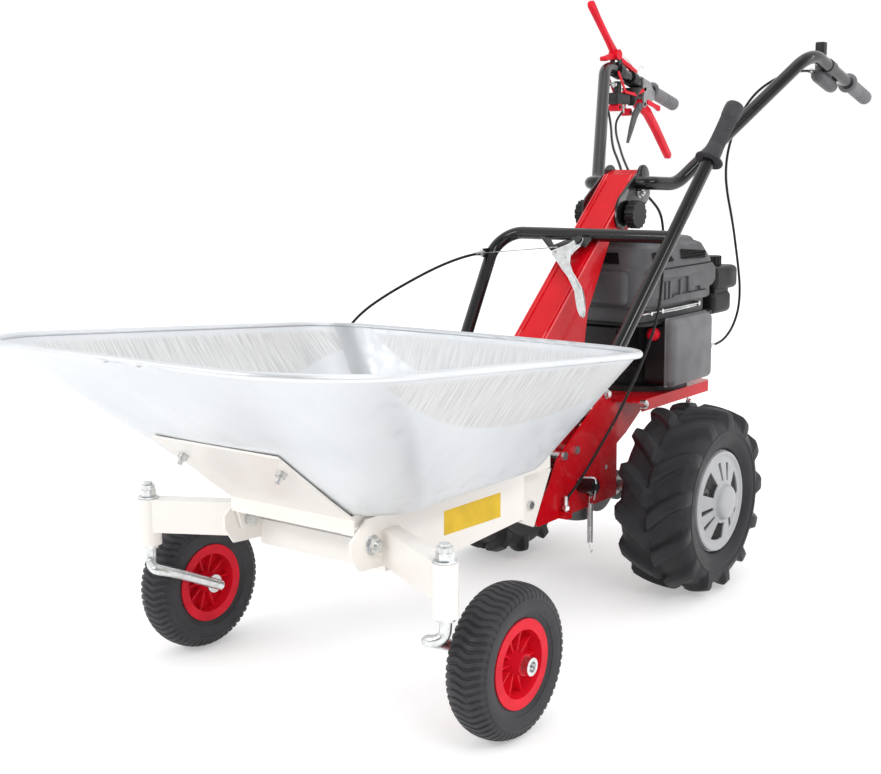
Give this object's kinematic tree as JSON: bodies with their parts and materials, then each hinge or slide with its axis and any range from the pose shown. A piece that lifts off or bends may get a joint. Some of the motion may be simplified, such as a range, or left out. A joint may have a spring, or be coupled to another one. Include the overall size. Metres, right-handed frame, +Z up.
{
  "type": "power barrow",
  "caption": "Walk-behind powered barrow: lugged drive wheels under a petrol engine and handlebars push a cart with a galvanised tipping tray on swivelling front wheels.",
  "frame": {"origin": "on the ground, half-way along the machine and on its middle plane", "axes": "+X forward from the handlebars to the tray, +Y to the machine's left, +Z up"},
  "size_m": [2.2429, 0.8421, 1.3174],
  "materials": {
    "galvanised": "satin",
    "cream_paint": "satin",
    "red_paint": "gloss",
    "black_paint": "gloss",
    "zinc": "satin",
    "steel": "bright",
    "bronze": "machined",
    "cast_case": "cast",
    "rim_silver": "satin",
    "tyre_rubber": "matt",
    "grip_rubber": "matt",
    "black_plastic": "grained",
    "grey_plastic": "grained",
    "red_plastic": "gloss",
    "cable_sheath": "gloss"
  },
  "bodies": {
    "chassis": {"cart_frame": "cream_paint", "caster_arm_left": "cream_paint", "caster_arm_right": "cream_paint", "frame_bolts": "zinc", "hitch_plate_left": "red_paint", "hitch_plate_right": "red_paint", "hitch_coupler": "black_paint", "gearbox_housing": "cast_case", "axle_bearings": "steel", "drive_belt": "grip_rubber", "engine_plate": "red_paint", "engine_block": "cast_case", "engine_shroud": "black_plastic", "fuel_tank": "black_plastic", "airbox": "black_plastic", "airbox_cover": "grey_plastic", "carburettor": "cast_case", "muffler": "black_paint", "column": "red_paint", "throttle_cable": "cable_sheath", "lever_cables": "cable_sheath"},
    "drive_wheels": {"drive_axle": "steel", "worm_wheel": "bronze", "rear_tyre_left": "tyre_rubber", "rear_tyre_right": "tyre_rubber", "rear_rims": "rim_silver", "hub_caps": "rim_silver"},
    "worm": {"worm_shaft": "steel"},
    "crank": {"crankshaft": "steel"},
    "caster_left": {"caster_fork_left": "zinc", "caster_nuts_left": "zinc"},
    "caster_right": {"caster_fork_right": "zinc", "caster_nuts_right": "zinc"},
    "front_wheel_left": {"front_tyre_left": "tyre_rubber", "front_rim_left": "red_paint"},
    "front_wheel_right": {"front_tyre_right": "tyre_rubber", "front_rim_right": "red_paint"},
    "tipping_tray": {"tray": "galvanised", "tipping_frame": "cream_paint", "tray_bolts": "zinc", "tip_handle": "black_paint", "tip_grip": "grip_rubber", "release_cable": "cable_sheath"},
    "release": {"release_lever": "zinc"},
    "latch": {"latch_hook": "zinc"},
    "handlebar": {"handlebar_bracket": "black_paint", "handlebar_left": "black_paint", "handlebar_right": "black_paint", "handlebar_grips": "grip_rubber", "right_control_housing": "black_plastic", "throttle_housing": "black_plastic"},
    "clamp": {"clamp_knobs": "black_plastic"},
    "clutch": {"clutch_lever": "red_plastic"},
    "reverse": {"reverse_lever": "red_plastic"},
    "safety": {"safety_lever": "black_plastic"},
    "throttle": {"throttle_lever": "black_plastic"},
    "primer": {"primer_bulb": "red_plastic"},
    "starter": {"starter_handle": "black_plastic"},
    "cap": {"fuel_cap": "black_plastic"},
    "spring": {"hang_spring": "zinc"}
  },
  "joints": [
    {"name": "axle_spin", "type": "hinge", "parent": "chassis", "child": "drive_wheels", "pos_m": [-0.2375, 0, 0.203], "axis": [0, 1, 0], "continuous": true},
    {"name": "worm_spin", "type": "hinge", "parent": "chassis", "child": "worm", "pos_m": [-0.169, 0, 0.203], "axis": [0, 0, 1], "continuous": true},
    {"name": "crank_spin", "type": "hinge", "parent": "chassis", "child": "crank", "pos_m": [-0.4375, 0, 0.366], "axis": [0, 0, 1], "continuous": true},
    {"name": "caster_swivel_left", "type": "hinge", "parent": "chassis", "child": "caster_left", "pos_m": [0.7625, 0.344, 0.28], "axis": [0, 0, 1], "continuous": true},
    {"name": "caster_swivel_right", "type": "hinge", "parent": "chassis", "child": "caster_right", "pos_m": [0.7625, -0.344, 0.28], "axis": [0, 0, 1], "continuous": true},
    {"name": "caster_wheel_left", "type": "hinge", "parent": "caster_left", "child": "front_wheel_left", "pos_m": [0.6285, 0.364, 0.13], "axis": [0, 1, 0], "continuous": true},
    {"name": "caster_wheel_right", "type": "hinge", "parent": "caster_right", "child": "front_wheel_right", "pos_m": [0.6285, -0.364, 0.13], "axis": [0, 1, 0], "continuous": true},
    {"name": "tray_tip", "type": "hinge", "parent": "chassis", "child": "tipping_tray", "pos_m": [0.7085, 0, 0.308], "axis": [0, 1, 0], "range_deg": [0, 50]},
    {"name": "release_lever", "type": "hinge", "parent": "tipping_tray", "child": "release", "pos_m": [-0.1585, 0.012, 0.753], "axis": [0.6696, 0, 0.7427], "range_deg": [0, 30], "stiffness_Nm_per_rad": 1.5, "springref_deg": -5.73},
    {"name": "latch_turn", "type": "hinge", "parent": "tipping_tray", "child": "latch", "pos_m": [0.1995, -0.161, 0.343], "axis": [0, 1, 0], "range_deg": [0, 20]},
    {"name": "handlebar_height", "type": "hinge", "parent": "chassis", "child": "handlebar", "pos_m": [-0.3595, 0, 0.85], "axis": [0, 1, 0], "range_deg": [-12, 12], "deforming": ["throttle_cable", "lever_cables"]},
    {"name": "clamp_turn", "type": "hinge", "parent": "handlebar", "child": "clamp", "pos_m": [-0.3095, 0, 0.804], "axis": [0, 1, 0], "range_deg": [0, 180]},
    {"name": "clutch_squeeze", "type": "hinge", "parent": "handlebar", "child": "clutch", "pos_m": [-0.9255, -0.275, 1.064], "axis": [0, 1, 0], "range_deg": [0, 24], "stiffness_Nm_per_rad": 3, "springref_deg": -5.73},
    {"name": "reverse_shift", "type": "hinge", "parent": "handlebar", "child": "reverse", "pos_m": [-0.7955, -0.251, 1.188], "axis": [0, 1, 0], "range_deg": [-50, 0]},
    {"name": "safety_trip", "type": "hinge", "parent": "handlebar", "child": "safety", "pos_m": [-0.8775, -0.2494, 1.056], "axis": [0, 1, 0], "range_deg": [0, 20], "stiffness_Nm_per_rad": 0.4, "springref_deg": -5.73},
    {"name": "throttle_set", "type": "hinge", "parent": "handlebar", "child": "throttle", "pos_m": [-0.8775, 0.24, 1.112], "axis": [0, 1, 0], "range_deg": [-30, 30]},
    {"name": "primer_push", "type": "slide", "parent": "chassis", "child": "primer", "axis": [-1, 0, 0], "range_m": [0, 0.006], "stiffness_N_per_m": 400},
    {"name": "starter_pull", "type": "slide", "parent": "chassis", "child": "starter", "axis": [-1, 0, 0], "range_m": [0, 0.05], "stiffness_N_per_m": 40},
    {"name": "fuel_cap_turn", "type": "hinge", "parent": "chassis", "child": "cap", "pos_m": [-0.69, 0.06, 0.675], "axis": [0, 0, 1], "range_deg": [0, 120]},
    {"name": "spring_swing", "type": "hinge", "parent": "chassis", "child": "spring", "pos_m": [-0.0765, 0.094, 0.215], "axis": [0, 1, 0], "range_deg": [-25, 25]}
  ],
  "couplings": [
    {"joint": "worm_spin", "follows": "axle_spin", "ratio": 30},
    {"joint": "crank_spin", "follows": "axle_spin", "ratio": 42.857},
    {"joint": "latch_turn", "follows": "release_lever", "ratio": 0.66667}
  ]
}
